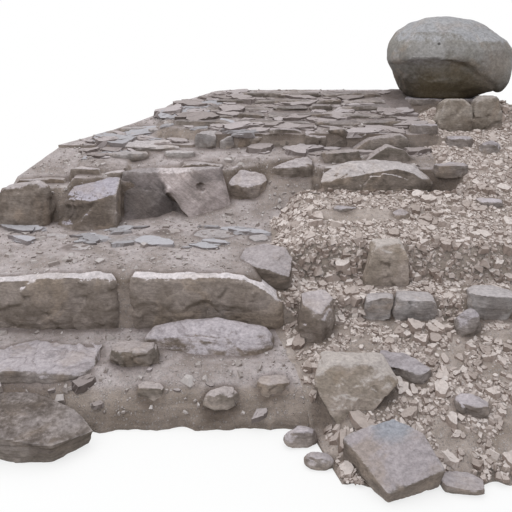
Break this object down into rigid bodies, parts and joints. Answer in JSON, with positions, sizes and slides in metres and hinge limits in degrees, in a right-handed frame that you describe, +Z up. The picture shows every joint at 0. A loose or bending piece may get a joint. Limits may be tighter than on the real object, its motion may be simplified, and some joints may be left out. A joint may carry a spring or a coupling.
{
  "type": "flight of outdoor stone steps with a boulder",
  "caption": "Rough stone steps on packed earth, with kerb stones, thin upper courses, a worn rubble side and a boulder at the top.",
  "frame": {"origin": "on the ground plane at the middle of the footprint", "axes": "+X to the right for someone who walks up, +Y up the slope, +Z up"},
  "size_m": [3.8501, 3.7196, 1.9653],
  "materials": {
    "kerb_stone": "rough split sandstone, dark face and worn pale arris",
    "pale_stone": "worn laminated sandstone, pale lavender grey",
    "brown_stone": "rough brown sandstone",
    "grey_stone": "blue grey flat slabs",
    "boulder_stone": "weathered round boulder with lichen specks",
    "packed_earth": "dry packed earth with grit",
    "rubble_earth": "dry earth under loose angular rubble"
  },
  "bodies": {
    "root": {"bottom_left_slab": "brown_stone", "step_1_left_slab": "pale_stone", "step_1_small_block": "brown_stone", "step_1_whaleback_slab": "pale_stone", "foot_bank_stones": "brown_stone", "right_foot_block": "brown_stone", "right_foot_tilted_slab": "grey_stone", "right_foot_sloping_slab": "brown_stone", "right_foot_loose_stones": "grey_stone", "kerb_left_stone": "kerb_stone", "kerb_right_stone": "kerb_stone", "kerb_corner_stone": "pale_stone", "kerb_end_block": "pale_stone", "right_riser_stones": "grey_stone", "right_edge_slab": "grey_stone", "right_bank_stone": "brown_stone", "tread_2_flat_stones": "grey_stone", "step_3_left_stone": "pale_stone", "step_3_wedge_block": "pale_stone", "step_3_large_block": "kerb_stone", "step_3_right_stone": "brown_stone", "step_3_broad_stone": "pale_stone", "step_3_pale_slab": "pale_stone", "step_3_gable_stones": "brown_stone", "step_4_line_stones": "pale_stone", "tread_4_flat_stones": "grey_stone", "step_5_left_ledge": "grey_stone", "step_5_riser_stones": "brown_stone", "thin_course_1": "pale_stone", "thin_course_2": "pale_stone", "thin_course_3": "pale_stone", "thin_course_4": "pale_stone", "thin_course_5": "pale_stone", "boulder_bed_block": "brown_stone", "boulder_bed_slabs": "grey_stone", "boulder": "boulder_stone", "right_slope_stones": "brown_stone", "foot_earth": "packed_earth", "tread_2_earth": "packed_earth", "tread_3_earth": "packed_earth", "upper_earth": "packed_earth", "right_lower_slope": "rubble_earth", "right_middle_slope": "rubble_earth", "right_upper_slope": "rubble_earth"}
  },
  "joints": []
}
